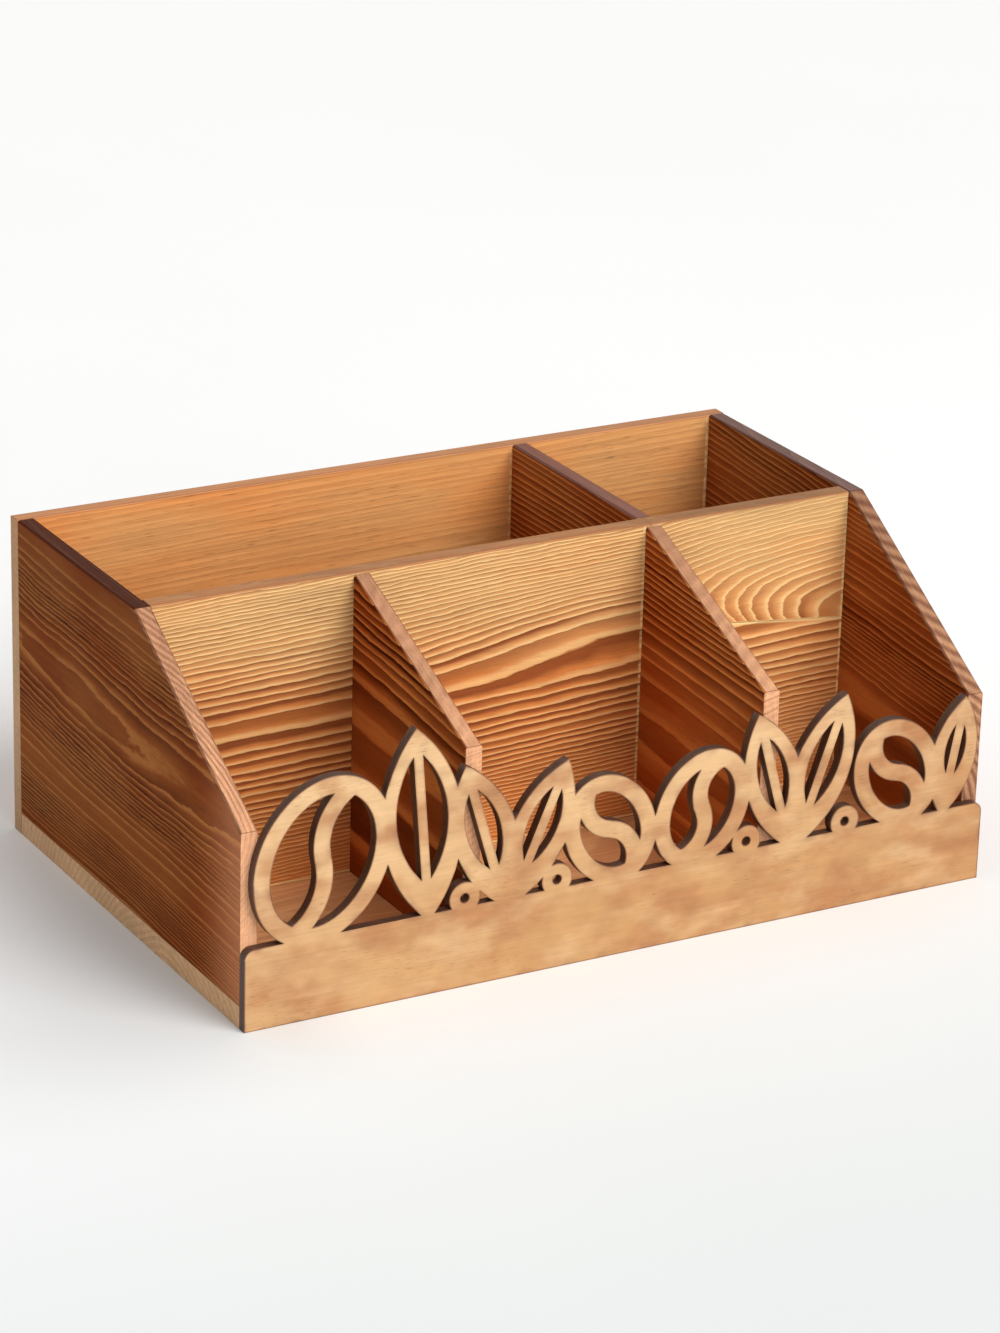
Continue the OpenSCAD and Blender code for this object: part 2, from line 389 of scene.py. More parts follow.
def pine(name, grain, tones, gloss, log):
    """A board sawn from a ringed log. grain is the axis of the fibres. tones are the colours of
    a ring's crest, its early and late wood, the warm tint, a sawn end, its rings and the top
    edge."""
    crest, early, late, warm, cut, cut_late, top = tones
    sizes = bpy.context.scene.caddy_pine
    seed = log.seed
    f = Finish(name)
    x, y, z = f.place()
    g, u, v = (x, y, z) if grain == "X" else (y, x, z)
    radius, ring, part, crowd = rings(f, log, g, u, v)

    # a ring starts with a pale crest and darkens to its late wood, which stops sharply
    luck = f.chance(ring + seed)
    patch = f.noise(g * 0.016 + seed, u * 0.05, v * 0.07, 2.0, 0.6).smooth(0.30, 0.62)
    stop = part.band(0.93, 1.0)
    dark = part.smooth(luck * 0.2 + 0.1, 0.86) * stop * (luck * 0.5 + 0.5)
    dark = dark * (patch * log.patchy + (1 - log.patchy)) * crowd
    drawn = (dark * at(log.contrast, g, v)).clamped()
    pale = (1 - part.smooth(0.04, 0.36) * stop) * log.crest_share

    # the long faces: rings on the tinted wood, with what lies over them
    fibre = f.noise(g * 0.07 + seed, u * 1.9, v * 1.9, 3.0, 0.6)
    streak = f.noise(g * 0.014 + seed, u * 0.42, v * 0.42, 2.0, 0.5)
    cloud = f.noise(g * 0.012 + seed, u * 0.035, v * 0.035, 2.0, 0.5)
    fleck = f.noise(g * 0.11, u * 2.6, v * 2.6 + seed, 1.0, 0.4).smooth(0.64, 0.76)
    tint = cloud.smooth(0.32, 0.70)
    if log.warmth:
        tint = (tint * 0.4 + log.warmth(g, u, v)).clamped()
    face = f.mix(pale * 0.7, f.mix(tint, early, warm), f.mix(tint * 0.4, crest, warm))
    face = f.mix(drawn, face, late)
    # pale lines in the crest colour; the one along the middle wall's foot is a painted highlight
    if log.glint:
        face = f.mix(log.glint(g, v) * 0.8, face, crest)
    # a pale wash towards the sawn colour, which on the left side is painted light towards the
    # front
    if log.wash:
        face = f.mix(log.wash(g, v), face, cut)
    # painted highlights: dotted pale lines in the crest colour where a crosswise board meets
    # this one
    for seam, strength in log.seams:
        dots = f.noise(g * 0.1, u * 0.1, v * 0.5 + seed, 1.0).smooth(0.40, 0.60) * 0.8 + 0.2
        line = abs(g - seam).band(0.3, 0.8) * (log.seam_face - u).smooth(0, 1)
        face = f.mix(line * dots * strength, face, crest)

    # the sawn ends and the top edge, with the marks of the saw
    sawn, upper = f.mark("sawn"), f.mark("upper")
    kerf = f.noise(g * 0.04 + seed, u * 2.4, v * 0.04, 2.0, 0.6)
    arcs = wave(radius, log.end_pitch) * 0.5 + 0.5
    marks = arcs * at(log.end_rings, g, v) + (kerf - 0.45) * 0.9
    low, high, aged = log.age
    ends = f.mix(v.smooth(low, high) * aged, f.mix(marks.clamped(), cut, cut_late), top)
    # the top edge takes a share of painted sheen, grey in place of the sky's reflection
    edge = f.shade(f.mix(log.ash, top, sizes.ash), (kerf * 0.7 + 0.65) * at(log.top_tone, g, v))
    wood = f.mix(upper * 0.9, f.mix(sawn, face, ends), edge)

    light = 1 + (fibre - 0.5) * 0.40 + (streak - 0.5) * 0.42 + (cloud - 0.5) * 0.5
    light = light - fleck * log.flecks
    wood = f.shade(wood, light * ((1 - sawn) * at(log.tone, g, v) + sawn * log.end_tone))
    wood = f.mix(f.mark("arris") * (fibre * 0.5 + 0.3), wood, late)
    height = pale * 0.5 - drawn * 0.6 + fibre * 0.2 + streak * 0.12
    return f.finish(
        {
            "Base Color": wood,
            "Roughness": 0.66 - pale * 0.08 + (fibre - 0.5) * 0.16 - upper * 0.12,
            "Normal": f.bump(height, sizes.relief, 0.75),
        },
        Specular_IOR_Level=gloss,
    )


def honey(name, heart, **figure):
    """A light board, with its fibres from left to right."""
    tones = bpy.context.scene.caddy_pine
    shades = (tones.honey_crest, tones.honey_early, tones.honey_late, tones.honey_heart,
              tones.end, tones.end_late, tones.honey_top)
    return pine(name, "X", shades, tones.oil, Log(heart, **figure))


def charred(name, heart, **figure):
    """A board darkened by fire, with its fibres from front to back."""
    tones = bpy.context.scene.caddy_pine
    shades = (tones.dark_crest, tones.dark_early, tones.dark_late, tones.dark_heart,
              tones.sawn, tones.sawn_late, tones.dark_top)
    return pine(name, "Y", shades, tones.soot_oil, Log(heart, **figure))


# ---------------------------------------------------------------- boards

WELD = 1e-6  # points of a CAD mesh nearer than this are one
FLAT_TURN = math.radians(0.6)  # faces that turn less than this are one flat face
SHARP_TURN = math.radians(25)  # edges that turn more than this are eased
SHORTEST_EASED = 1 * MM
LARGE_FACE = 4e-6  # in square metres
FLUSH = 0.9995  # a face whose normal is this near a large face's isn't part of an eased edge
UPWARD = 0.6  # least z of the normal of a face of the top edge
TOP_BAND = 1.5 * MM  # a face of the top edge is this near the board's top
TALL_BOARD = 20 * MM  # a lower board has no top edge


def welded(node):
    """A copy of a CAD node's mesh with its points merged."""
    bm = bmesh.new()
    bm.from_mesh(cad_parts[node].data)
    bmesh.ops.remove_doubles(bm, verts=bm.verts, dist=WELD)
    return bm


def bevel(bm, edges, width):
    """Rounds edges in two steps."""
    bmesh.ops.bevel(
        bm, geom=edges, offset=width, offset_type="OFFSET", segments=2, profile=0.5,
        affect="EDGES", clamp_overlap=False,
    )


def mark_faces(mesh, name, test):
    """Stores a number on each face of a finished mesh."""
    layer = mesh.attributes.new(name, "FLOAT", "FACE")
    layer.data.foreach_set("value", [float(test(p)) for p in mesh.polygons])


def mesh_of(name, bm):
    """A mesh with the shape of a bmesh, which is freed."""
    mesh = bpy.data.meshes.new(name)
    bm.to_mesh(mesh)
    bm.free()
    return mesh


def show(name, data):
    """An object of the scene, from its mesh, light or camera."""
    made = bpy.data.objects.new(name, data)
    bpy.context.scene.collection.objects.link(made)
    return made


def piece(name, mesh, node):
    """Makes the object that takes a CAD node's place, and ties it to the frame."""
    made = show(name, mesh)
    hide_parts(node)
    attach(made, BODY)


def board(node, name, material, cut):
    """Dresses one board. cut tells from a normal whether a face is a sawn end."""
    bm = welded(node)
    bmesh.ops.dissolve_limit(
        bm, angle_limit=FLAT_TURN, verts=bm.verts, edges=bm.edges, use_dissolve_boundaries=False
    )
    flat = [f.normal.copy() for f in bm.faces if f.calc_area() > LARGE_FACE]
    sharp = [
        e for e in bm.edges
        if len(e.link_faces) == 2
        and e.calc_face_angle(0) > SHARP_TURN
        and e.calc_length() >= SHORTEST_EASED
    ]
    bevel(bm, sharp, bpy.context.scene.caddy_pine.arris)
    bmesh.ops.recalc_face_normals(bm, faces=bm.faces)
    mesh = mesh_of(name, bm)
    mesh.materials.append(material)
    piece(name, mesh, node)
    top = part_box(node)[1].z - TOP_BAND
    mark_faces(mesh, "sawn", lambda p: cut(p.normal))
    mark_faces(mesh, "upper", lambda p: p.normal.z > UPWARD and p.center.z > top > TALL_BOARD)
    mark_faces(mesh, "arris", lambda p: all(p.normal.dot(n) < FLUSH for n in flat))
    mesh.polygons.foreach_set("use_smooth", [False] * len(mesh.polygons))


def across(normal):
    """Ends of the boards that run from left to right."""
    return abs(normal.x) > 0.7


def slope(normal):
    """Front edges and slopes of the boards that run from front to back."""
    return normal.y < -0.3


class CADDY_OT_base(Operator):
    """Dress the base board"""

    bl_idname = "caddy.base"
    bl_label = "Base board"

    def execute(self, context):
        wood = honey(
            "pine_base", lambda g, v: (-40.0, -46.0 + g * 0.02), seed=4.3, pitch=3.0, sway=7.0,
            vary=1.5, contrast=0.5, warmth=lambda g, u, v: 0.45, crest_share=0.5, tone=1.22,
            wash=lambda g, v: 0.52, end_tone=1.06, end_rings=0.35, end_pitch=3.0,
        )
        board("base_board", "base_board_wood", wood, across)
        return {"FINISHED"}


class CADDY_OT_back(Operator):
    """Dress the back panel"""

    bl_idname = "caddy.back"
    bl_label = "Back panel"

    def execute(self, context):
        wood = honey(
            "pine_back", lambda g, v: (130.0, 20.0 + g * 0.03), seed=9.1, pitch=2.4, sway=3.0,
            ripple=1.0, contrast=0.2, crest_share=0.15,
            warmth=lambda g, u, v: 0.42 - g.smooth(60, 120) * 0.14,
            seams=((58.4, 0.5), (152.2, 0.9)), seam_face=100.0, flecks=0.35,
            top_tone=1.05, ash=0.1, end_tone=0.82, end_rings=0.3,
        )
        board("back_panel", "back_panel_wood", wood, across)
        return {"FINISHED"}


# the middle wall shows most, so its figure follows functions of the place on it
RIGHT_BAY = (61, 62)  # the right bay begins here, behind the divider
FOOT_LINE = 9.7  # height of the painted highlight along the wall's foot, where it meets the base board


def fan_edge(g, v):
    """Height above the foot of the right bay's fan, which leans a little."""
    foot, middle, lean = 83.5, 106, 0.11
    return v - foot + (g - middle) * lean


def wall_bend(g, v):
    """In the right bay the rings fan out of the far corner, and left of it they climb."""
    foot, corner, narrow, widen, lift = 81, 160, 1.9, 0.06, 9.0
    rise = v - foot
    run = (g - corner) / (abs(rise) * widen + narrow)
    fan = (rise * rise + run * run).root() - rise
    right = g.smooth(*RIGHT_BAY)
    climb = g.smooth(-60, 50) * v.smooth(70, 90) * v.band(96, 122) * (1 - right)
    return fan * right * fan_edge(g, v).smooth(0, 0.5) - climb * lift


def wall_contrast(g, v):
    """The ring lines are strong halfway up, and fade above and to the right."""
    return 0.4 + v.smooth(12, 46) * 1.1 - v.smooth(78, 112) * 0.85 - g.smooth(60, 100) * 0.5


def wall_tone(g, v):
    """The wall is bright at its foot and in the right bay, and duller in the left bay."""
    right = g.smooth(60, 110) * v.band(96, 112) * 0.07
    left = (-g).smooth(60, 74) * v.smooth(60, 70) * v.band(80, 100) * 0.12
    return 1.16 - v.smooth(20, 55) * 0.18 - v.smooth(80, 112) * 0.16 + right - left


def wall_warmth(g, u, v):
    """The wall is warm below, and less so in the right bay: partly the heartwood's colour,
    partly painted shade and warm bounce light low in the bays.
    """
    return v.band(68, 112) * (1 - g.smooth(60, 110) * 0.55)


def wall_glint(g, v):
    """Pale lines at the foot of the fan, and a painted highlight along the foot of the wall."""
    fan = g.smooth(*RIGHT_BAY) * abs(fan_edge(g, v)).band(0.2, 1.0)
    return fan * 0.7 + abs(v - FOOT_LINE).band(0.3, 0.8) * 0.8


class CADDY_OT_wall(Operator):
    """Dress the middle wall"""

    bl_idname = "caddy.wall"
    bl_label = "Middle wall"

    def execute(self, context):
        wood = honey(
            "pine_wall", lambda g, v: (20.0, -62.0 + g * 0.04), seed=1.7, pitch=2.3, sway=2.0,
            ripple=2.4, vary=0.5, crowds=(4.8, 120.0, 82.0), calm=0.0, patchy=0.2,
            bend=wall_bend, contrast=wall_contrast, tone=wall_tone, warmth=wall_warmth,
            glint=wall_glint, seams=((58.5, 0.6), (152.4, 0.7)), seam_face=-6.0,
            top_tone=lambda g, v: 1 - g.smooth(40, 90) * 0.22,
        )
        board("middle_wall", "middle_wall_wood", wood, across)
        return {"FINISHED"}


class CADDY_OT_sides(Operator):
    """Dress both sides"""

    bl_idname = "caddy.sides"
    bl_label = "Sides"

    def execute(self, context):
        left = charred(
            "pine_left", lambda g, v: (-190.0, 82.0 + g * 0.03), seed=2.9, pitch=2.2,
            sway=5.0, ripple=1.8, vary=1.4, patchy=0.7, crowds=(1.2, 32.0, 38.0), calm=0.95,
            # painted light: towards the front the left side is lighter, by its tone and a pale
            # wash, where the front light falls on it; the plainer rings there are the wood's own
            tone=lambda g, v: 0.72 + (-g).smooth(50, 106) * 0.38 - v.smooth(96, 130) * 0.08,
            contrast=lambda g, v: 1.05 - (-g).smooth(60, 104) * 0.6, flecks=0.45,
            wash=lambda g, v: (-g).smooth(62, 106) * 0.3, age=(90, 150, 0.3),
            end_tone=0.88, end_rings=lambda g, v: v.smooth(66, 96) * 0.45 + 0.1, end_pitch=1.9,
        )
        right = charred(
            "pine_right", lambda g, v: (122.0, 30.0 + g * 0.06), seed=7.7, pitch=2.6,
            sway=4.0, ripple=1.8, vary=2.2, patchy=0.85, crowds=(1.0, 44.0, 60.0),
            top_tone=1.15, ash=0.4, age=(80, 132, 0.3), end_tone=0.62, end_pitch=3.4,
        )
        board("left_side", "left_side_wood", left, slope)
        board("right_side", "right_side_wood", right, slope)
        return {"FINISHED"}


class CADDY_OT_dividers(Operator):
    """Dress the three dividers"""

    bl_idname = "caddy.dividers"
    bl_label = "Dividers"

    def execute(self, context):
        logs = {
            "front_divider_left": (
                lambda g, v: (-44.0, 40.0 + g * 0.1),
                dict(seed=5.2, pitch=6.0, ripple=3.0, vary=0.5, contrast=1.2, patchy=0.1,
                     tone=1.3, calm=0.55, crowds=(1.7, 84.0, 84.0), end_tone=0.98),
            ),
            "front_divider_right": (
                lambda g, v: (75.0, 47.0 + g * 0.06),
                dict(seed=3.6, pitch=4.0, ripple=1.5, vary=0.5, contrast=1.15, patchy=0.2,
                     tone=1.3, calm=0.85, crowds=(2.6, 100.0, 72.0), end_tone=0.98),
            ),
            "rear_divider": (
                lambda g, v: (100.0, 12.0),
                dict(seed=8.4, pitch=2.2, vary=0.8, contrast=0.75, patchy=0.3, tone=1.15,
                     top_tone=1.6, ash=0.15),
            ),
        }
        for node, (heart, figure) in logs.items():
            wood = charred("pine_" + node, heart, end_rings=0.2, **figure)
            board(node, node + "_wood", wood, slope)
        return {"FINISHED"}


# ---------------------------------------------------------------- fretwork

FRONT_BAND = 2e-5  # points this near the board's front lie in its front face
OUTLINE_STEP = 0.0005  # distance between the samples of the outline
RIM_ROWS = ((0.0005, 0.0009), (0.0014, 0.0016))  # how far from the outline, and how far apart
ROW_RATIO = 0.866  # distance of two rows of even triangles, as a share of a triangle's side
FAR = 4.0  # the scorch beside a cut is sought this far, in millimetres


def veneer():
    """Light plywood with laser-cut walls."""
    tones = bpy.context.scene.caddy_ply
    low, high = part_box("front_fascia")
    middle = (low.y + high.y) / 2 / MM
    f = Finish("laser_cut_ply")
    x, y, z = f.place()
    # clouds and slow pools of tone, small blots, and the fine lines along the veneer
    cloud = f.noise(x * 0.030, y * 0.02, z * 0.048, 3.0, 0.55)
    pool = f.noise(x * 0.035 + 9, y * 0.02, z * 0.075, 3.0, 0.55)
    blot = f.noise(x * 0.10 + 7, y * 0.05, z * 0.14, 2.0, 0.5)
    silk = f.noise(x * 0.02 + 3, y * 0.5, z * 0.9, 3.0, 0.6)
    # short pores, which lie in patches
    tick = f.noise(x * 0.22 + 11, y * 1.0, z * 3.2, 1.0, 0.4).smooth(0.60, 0.70)
    where = f.noise(x * 0.025 + 5, y * 0.02, z * 0.05 + 2, 1.0, 0.5).smooth(0.45, 0.62)
    pores = tick * where
    paler = z.smooth(18, 88) + (-x).smooth(40, 160) * 0.3
    warmer = cloud.smooth(0.40, 0.66) * 0.85 + x.smooth(60, 155) * 0.3
    face = f.mix(paler.clamped(), tones.face, tones.pale)
    face = f.mix(warmer.clamped(), face, tones.warm)
    face = f.mix(pores * 0.55, face, tones.pore)
    face = f.mix(pool.smooth(0.44, 0.74) * 0.6, face, tones.pale)
    face = f.shade(face, 1 + (blot - 0.5) * 0.28 + (silk - 0.5) * 0.36)
    # what the laser burnt: a thin rim, some haze round it, and the walls with their plies
    char, away = f.mark("char"), f.mark("away")
    smoke = f.noise(x * 0.07 + 2, y * 0.02, z * 0.07, 2.0, 0.6).smooth(0.48, 0.66)
    rim, haze = away.band(0.05, tones.rim / MM), away.band(0.2, 3.4) * smoke
    face = f.mix((rim * 0.8 + haze * 0.34).clamped(), face, tones.scorch)
    soot = f.noise(x * 0.35, y * 1.4, z * 0.35, 3.0, 0.6)
    ply = abs(y - middle).smooth(0.55, 0.8)
    wall = f.mix(soot.smooth(0.3, 0.75) * 0.5 + ply * 0.2, tones.char, tones.scorch)
    return f.finish(
        {
            "Base Color": f.mix(char, face, wall),
            "Roughness": 0.5 + (silk - 0.5) * 0.15 + char * 0.05,
            "Normal": f.bump(silk * 0.3 - pores * 0.5 + char * soot * 1.5, 0.00012, 0.5),
        },
        Coat_Weight=0.12,
        Coat_Roughness=0.35,
    )


def front_rim(bm, front):
    """The faces of the fretwork's flat front, and the edges of its outline."""
    flats = [f for f in bm.faces if all(v.co.y < front + FRONT_BAND for v in f.verts)]
    inside = set(flats)
    rim = [
        e for e in bm.edges
        if len(e.link_faces) == 2 and (e.link_faces[0] in inside) != (e.link_faces[1] in inside)
    ]
    return flats, rim


class Front:
    """The fretwork's flat front, made of triangles, with its outline."""

    def __init__(self, bm, front):
        self.front = front
        self.flats, self.rim = front_rim(bm, front)
        corners = [v.co.copy() for f in self.flats for v in f.verts]
        triangles = [(3 * i, 3 * i + 1, 3 * i + 2) for i in range(len(self.flats))]
        self.tree = BVHTree.FromPolygons(corners, triangles)
        samples = []
        for e in self.rim:
            a, b = (v.co for v in e.verts)
            steps = max(1, round((b - a).length / OUTLINE_STEP))
            samples += [a.lerp(b, i / steps) for i in range(steps)]
        self.outline = KDTree(len(samples))
        for i, sample in enumerate(samples):
            self.outline.insert(sample, i)
        self.outline.balance()

    def point(self, x, z):
        """A point in the front's plane."""
        return Vector((x, self.front, z))

    def away(self, p):
        """Distance of a point from the outline."""
        return self.outline.find(p)[2]

    def holds(self, p):
        """Tells whether the wood is right behind a point in the front's plane."""
        before = Vector((0, -0.5 * MM, 0))
        hit = self.tree.ray_cast(self.point(p.x, p.z) + before, -before, 1 * MM)
        return hit[0] is not None

    def row(self, gap, pitch):
        """Points along the outline, a gap away from it and about a pitch apart. A point that
        comes too near another stretch of the outline, or another point, is left out."""
        least_gap, least_pitch = gap * 0.96, pitch * 0.6
        taken = []
        for e in self.rim:
            a, b = (v.co for v in e.verts)
            along = b - a
            if along.length < WELD / 10:
                continue
            side = Vector((-along.z, 0, along.x)).normalized()
            steps = max(1, round(along.length / pitch))
            for i in range(steps):
                for sign in (1, -1):
                    p = a.lerp(b, (i + 0.5) / steps) + side * gap * sign
                    if (self.away(p) > least_gap and self.holds(p)
                            and all((p - q).length > least_pitch for q in taken[-4:])):
                        taken.append(p)
        return [(p.x, p.z) for p in taken]

    def grid(self, spacing, margin):
        """Points in staggered rows on the wood, away from the outline by more than a margin."""
        low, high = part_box("front_fascia")
        points, rows, z = [], 0, low.z
        while z < high.z:
            x = low.x + (rows % 2) * spacing / 2
            while x < high.x:
                p = self.point(x, z)
                if self.away(p) > margin and self.holds(p):
                    points.append((x, z))
                x += spacing
            z += spacing * ROW_RATIO
            rows += 1
        return points


def refill(bm, face, spacing):
    """Refills the flat front with even triangles, whose points can carry a scorched rim."""
    outline = list(dict.fromkeys(v for e in face.rim for v in e.verts))
    order = {v: i for i, v in enumerate(outline)}
    edges = [tuple(order[v] for v in e.verts) for e in face.rim]
    points = [(v.co.x, v.co.z) for v in outline]
    for gap, pitch in RIM_ROWS:
        points += face.row(gap, pitch)
    points += face.grid(spacing, RIM_ROWS[-1][0] + spacing * 0.35)
    # the triangulation works in millimetres, which its smallest distance is meant for
    found = delaunay_2d_cdt([Vector(p) * TO_MM for p in points], edges, [], 0, 1e-5)
    places, triangles, origins = found[0], found[2], found[3]
    bmesh.ops.delete(bm, geom=face.flats, context="FACES")
    verts = []
    for (x, z), origin in zip(places, origins):
        old = [outline[i] for i in origin if i < len(outline)]
        verts.append(old[0] if old else bm.verts.new(face.point(x / TO_MM, z / TO_MM)))
    for triangle in triangles:
        middle = sum((places[i] for i in triangle), Vector((0, 0))) / len(triangle) / TO_MM
        if face.holds(face.point(*middle)):
            new = bm.faces.new([verts[i] for i in triangle])
            new.normal_update()
            if new.normal.y > 0:
                new.normal_flip()
    bmesh.ops.delete(bm, geom=[v for v in bm.verts if not v.link_faces], context="VERTS")


class CADDY_OT_fretwork(Operator):
    """Dress the laser-cut front board"""

    bl_idname = "caddy.fretwork"
    bl_label = "Fretwork front"

    def execute(self, context):
        sizes = context.scene.caddy_ply
        low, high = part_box("front_fascia")
        bm = welded("front_fascia")
        bmesh.ops.dissolve_degenerate(bm, dist=2 * WELD, edges=bm.edges)
        face = Front(bm, low.y)
        refill(bm, face, sizes.spacing)
        bmesh.ops.dissolve_degenerate(bm, dist=WELD / 10, edges=bm.edges)
        holes = [e for e in bm.edges if len(e.link_faces) != 2]
        if holes:
            raise RuntimeError(f"the refilled fretwork has {len(holes)} open edges")
        bevel(bm, front_rim(bm, low.y)[1], sizes.arris)
        mesh = mesh_of("fretwork_front", bm)
        mesh.materials.append(veneer())
        piece("fretwork_front", mesh, "front_fascia")
        mark_faces(mesh, "char", lambda p: abs(p.normal.y) < 0.8)
        # how far each point lies from a cut, for the scorch beside it, which the back lacks
        layer = mesh.attributes.new("away", "FLOAT", "POINT")
        layer.data.foreach_set("value", [
            min(face.away(face.point(v.co.x, v.co.z)) / MM, FAR)
            if v.co.y < high.y - FRONT_BAND / 2 else FAR
            for v in mesh.vertices
        ])
        return {"FINISHED"}


# ---------------------------------------------------------------- brads

# the way in which each node's brads are driven
DRIVEN = {"base_brads": (0, 0, 1), "back_brads": (0, -1, 0), "wall_brads": (0, -1, 0)}


def brad_steel():
    """Bright wire steel with drawn lines and a little dust."""
    tones = bpy.context.scene.caddy_brad
    f = Finish("brad_wire")
    x, y, z = f.place()
    lines = f.noise(x * 6, y * 6, z * 6, 3.0, 0.6)
    dull = f.noise(x * 0.8, y * 0.8, z * 0.8, 2.0, 0.5)
    steel = f.mix(dull.smooth(0.4, 0.7) * 0.4, tones.steel, tones.dull)
    return f.finish(
        {
            "Base Color": f.shade(steel, 0.85 + lines * 0.3),
            "Roughness": 0.28 + dull * 0.25,
            "Normal": f.bump(lines, 0.00003, 0.4),
        },
        Metallic=1.0,
    )


def lathe(name, profile, sides):
    """A turned piece about +Z, from the points of its half outline, closed at both ends."""
    bm = bmesh.new()
    turns = [math.tau * i / sides for i in range(sides)]
    rows = []
    for r, z in profile:
        row = [(r * math.cos(a), r * math.sin(a), z) for a in turns] if r else [(0, 0, z)]
        rows.append([bm.verts.new(co) for co in row])
    for lower, upper in zip(rows, rows[1:]):
        for i in range(sides):
            corners = [lower[i % len(lower)], lower[(i + 1) % len(lower)],
                       upper[(i + 1) % len(upper)], upper[i % len(upper)]]
            bm.faces.new(list(dict.fromkeys(corners)))
    bmesh.ops.recalc_face_normals(bm, faces=bm.faces)
    return mesh_of(name, bm)


def brad_mesh(tall):
    """A brad that stands on its head, whose outer face is dished."""
    sizes = bpy.context.scene.caddy_brad
    r, head, t = sizes.shank / 2, sizes.head / 2, sizes.head_t
    profile = [
        (0, tall), (r * 0.18, tall - r * 0.5), (r, tall - r * 2.6), (r, t * 1.5),
        (r * 1.12, t * 1.1), (head * 0.93, t), (head, t * 0.8), (head, t * 0.35),
        (head * 0.93, t * 0.08), (head * 0.62, 0), (head * 0.5, t * 0.12), (0, t * 0.16),
    ]
    return lathe("brad_master", profile, sizes.sides)


def brad_tree(material):
    """A node tree that stands a brad on every point, along the point's own direction."""
    tree = bpy.data.node_groups.new("stand_brads", "GeometryNodeTree")
    face = tree.interface
    face.new_socket("Points", in_out="INPUT", socket_type="NodeSocketGeometry")
    face.new_socket("Brad", in_out="INPUT", socket_type="NodeSocketObject")
    face.new_socket("Turn", in_out="INPUT", socket_type="NodeSocketFloat")
    face.new_socket("Brads", in_out="OUTPUT", socket_type="NodeSocketGeometry")

    def node(kind, **settings):
        made = tree.nodes.new(kind)
        for name, setting in settings.items():
            setattr(made, name, setting)
        return made

    given, given_out = node("NodeGroupInput"), node("NodeGroupOutput")
    axis = node("GeometryNodeInputNamedAttribute", data_type="FLOAT_VECTOR")
    axis.inputs["Name"].default_value = "way"
    aim = node("FunctionNodeAlignRotationToVector", axis="Z")
    spin = node("FunctionNodeRandomValue", data_type="FLOAT")
    spin.inputs["Seed"].default_value = 5
    spun = node("FunctionNodeAxisAngleToRotation")
    both = node("FunctionNodeRotateRotation", rotation_space="LOCAL")
    info = node("GeometryNodeObjectInfo", transform_space="ORIGINAL")
    stand = node("GeometryNodeInstanceOnPoints")
    real = node("GeometryNodeRealizeInstances")
    steel = node("GeometryNodeSetMaterial")
    steel.inputs["Material"].default_value = material
    for source, output, target, place in (
        (given, "Points", stand, "Points"), (given, "Brad", info, "Object"),
        (info, "Geometry", stand, "Instance"), (axis, "Attribute", aim, "Vector"),
        (given, "Turn", spin, "Max"), (spin, "Value", spun, "Angle"),
        (aim, "Rotation", both, "Rotation"), (spun, "Rotation", both, "Rotate By"),
        (both, "Rotation", stand, "Rotation"), (stand, "Instances", real, "Geometry"),
        (real, "Geometry", steel, "Geometry"), (steel, "Geometry", given_out, "Brads"),
    ):
        tree.links.new(source.outputs[output], target.inputs[place])
    return tree


def loose_boxes(node):
    """The lowest and highest corner of each separate solid of a CAD node."""
    bm = welded(node)
    seen, boxes = set(), []
    for first in bm.verts:
        found, front = [], [first]
        while front:
            v = front.pop()
            if v not in seen:
                seen.add(v)
                found.append(v.co)
                front += [e.other_vert(v) for e in v.link_edges]
        if found:
            boxes.append([Vector([end(axis) for axis in zip(*found)]) for end in (min, max)])
    bm.free()
    return boxes


def stand_brads(node, way, master, tree):
    """Puts a brad in the place of each solid of a node, driven along way, and returns them as
    one mesh."""
    points = [
        (low + high) / 2 - way * abs(way.dot(high - low)) / 2 for low, high in loose_boxes(node)
    ]
    mesh = bpy.data.meshes.new(node + "_points")
    mesh.from_pydata(points, [], [])
    layer = mesh.attributes.new("way", "FLOAT_VECTOR", "POINT")
    layer.data.foreach_set("vector", [*way] * len(points))
    holder = show(node + "_points", mesh)
    modifier = holder.modifiers.new("stand", "NODES")
    modifier.node_group = tree
    ports = {socket.name: socket.identifier for socket in tree.interface.items_tree}
    modifier[ports["Brad"]] = master
    modifier[ports["Turn"]] = math.tau
    bpy.context.view_layer.update()
    done = holder.evaluated_get(bpy.context.evaluated_depsgraph_get())
    made = bpy.data.meshes.new_from_object(done)
    bpy.data.objects.remove(holder)
    return made


class CADDY_OT_brads(Operator):
    """Stand a steel brad in every brad hole"""

    bl_idname = "caddy.brads"
    bl_label = "Brads"

    def execute(self, context):
        low, high = loose_boxes("base_brads")[0]
        master = show("brad_master", brad_mesh(max(high - low)))
        tree = brad_tree(brad_steel())
        meshes = {
            node: stand_brads(node, Vector(way), master, tree) for node, way in DRIVEN.items()
        }
        bpy.data.objects.remove(master)
        for node, mesh in meshes.items():
            piece(node + "_steel", mesh, node)
        return {"FINISHED"}


# ---------------------------------------------------------------- stage

# the camera solved from the photo: its place, and its own axes
EYE = Vector((-0.82448, -1.45840, 0.73208))
RIGHT = Vector((0.87478385, -0.48385875, 0.02517772))
UP = Vector((0.15531993, 0.32927216, 0.93137295))
BACK = Vector((-0.45894327, -0.81083941, 0.36319488))
SENSOR = 36  # in millimetres
FLOOR_SIZE = 6  # half the floor's width, in metres
AIM = Vector((0, 0, 0.06))  # the lights look here


def lamp(name, kind, place, energy, **settings):
    """A soft light that looks at the caddy."""
    light = bpy.data.lights.new(name, kind)
    light.energy = energy
    for key, setting in settings.items():
        setattr(light, key, setting)
    made = show(name, light)
    made.location = place
    made.rotation_euler = (AIM - Vector(place)).to_track_quat("-Z", "Y").to_euler()


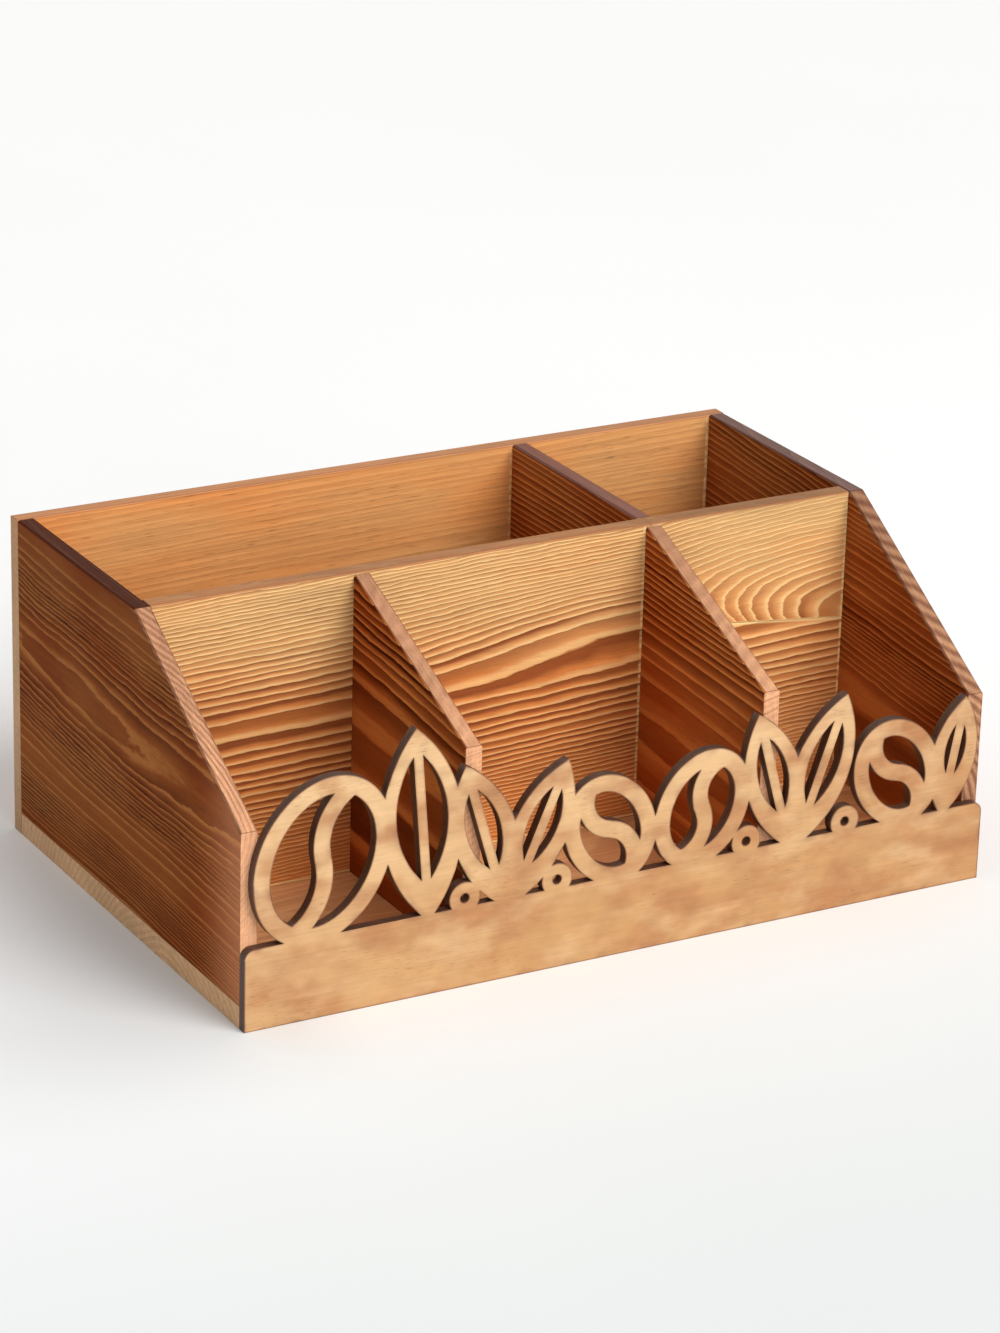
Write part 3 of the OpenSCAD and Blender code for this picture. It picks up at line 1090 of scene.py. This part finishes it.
def pale_floor(stage):
    """A plain floor with painted shade towards the camera and a painted shadow on the caddy's
    left.
    """
    f = Finish("pale_floor")
    x, y, z = f.place()
    soft = f.noise(x * 0.004, y * 0.004, z, 2.0)
    # painted shade: darker and cooler towards the camera
    plain = f.mix((-y).smooth(-100, 420), stage.floor, stage.near)
    # painted shadow: a soft dark pool on the floor left of the caddy
    beside = (-x).smooth(110, 150) * (-x).band(185, 340)
    along = y.smooth(-170, -60) * y.band(-20, 120)
    tone = 0.985 + soft * 0.03 - beside * along * 0.2
    return f.finish({"Base Color": f.shade(plain, tone)}, Roughness=0.85)


class CADDY_OT_stage(Operator):
    """Lay the floor, hang the lights and set up the camera"""

    bl_idname = "caddy.stage"
    bl_label = "Stage"

    def execute(self, context):
        scene, stage = context.scene, context.scene.caddy_stage
        bm = bmesh.new()
        bmesh.ops.create_grid(bm, x_segments=1, y_segments=1, size=FLOOR_SIZE)
        floor = show("floor", mesh_of("floor", bm))
        floor.data.materials.append(pale_floor(stage))
        scene.world = bpy.data.worlds.new("white_surround")
        scene.world.use_nodes = True
        sky = scene.world.node_tree.nodes["Background"].inputs
        sky["Color"].default_value = (1, 1, 1, 1)
        sky["Strength"].default_value = stage.sky
        lamp("soft_sun", "SUN", (0.45, -0.85, 0.95), stage.sun, angle=math.radians(38))
        lamp("front_box", "AREA", (0.05, -1.8, 0.6), stage.box, size=1.2)
        scene.view_settings.view_transform = "Standard"
        camera = bpy.data.cameras.new("photo_camera")
        camera.sensor_width, camera.lens = SENSOR, stage.lens
        camera.clip_start, camera.clip_end = 0.05, 50
        view = show("photo_camera", camera)
        turn = Matrix((RIGHT, UP, BACK)).transposed().to_4x4()
        view.matrix_world = Matrix.Translation(EYE) @ turn
        scene.camera = view
        return {"FINISHED"}


# ---------------------------------------------------------------- panel

PIECES = (
    CADDY_OT_stage, CADDY_OT_base, CADDY_OT_back, CADDY_OT_wall, CADDY_OT_sides,
    CADDY_OT_dividers, CADDY_OT_fretwork, CADDY_OT_brads,
)
SETTINGS = {
    "caddy_pine": CaddyPine, "caddy_ply": CaddyPly, "caddy_brad": CaddyBrad,
    "caddy_stage": CaddyStage,
}


class CADDY_PT_pieces(Panel):
    """Lists the caddy's settings and pieces"""

    bl_idname = "CADDY_PT_pieces"
    bl_label = "Coffee caddy"
    bl_space_type = "VIEW_3D"
    bl_region_type = "UI"
    bl_category = "Caddy"

    def draw(self, context):
        for name, group in SETTINGS.items():
            box = self.layout.box()
            box.label(text=group.__doc__)
            for key in group.__annotations__:
                box.prop(getattr(context.scene, name), key)
        for item in PIECES:
            self.layout.operator(item.bl_idname)


CLASSES = (*SETTINGS.values(), *PIECES, CADDY_PT_pieces)


def register():
    for item in CLASSES:
        bpy.utils.register_class(item)
    for name, group in SETTINGS.items():
        setattr(bpy.types.Scene, name, PointerProperty(type=group))


def unregister():
    for name in SETTINGS:
        delattr(bpy.types.Scene, name)
    for item in reversed(CLASSES):
        bpy.utils.unregister_class(item)


def corners(box):
    """A box's two corners as plain lists."""
    return [[float(c) for c in corner] for corner in box]


def main():
    """Builds the stage and every piece."""
    register()
    for item in PIECES:
        group, call = item.bl_idname.split(".")
        getattr(getattr(bpy.ops, group), call)()


if __name__ == "__main__":
    main()
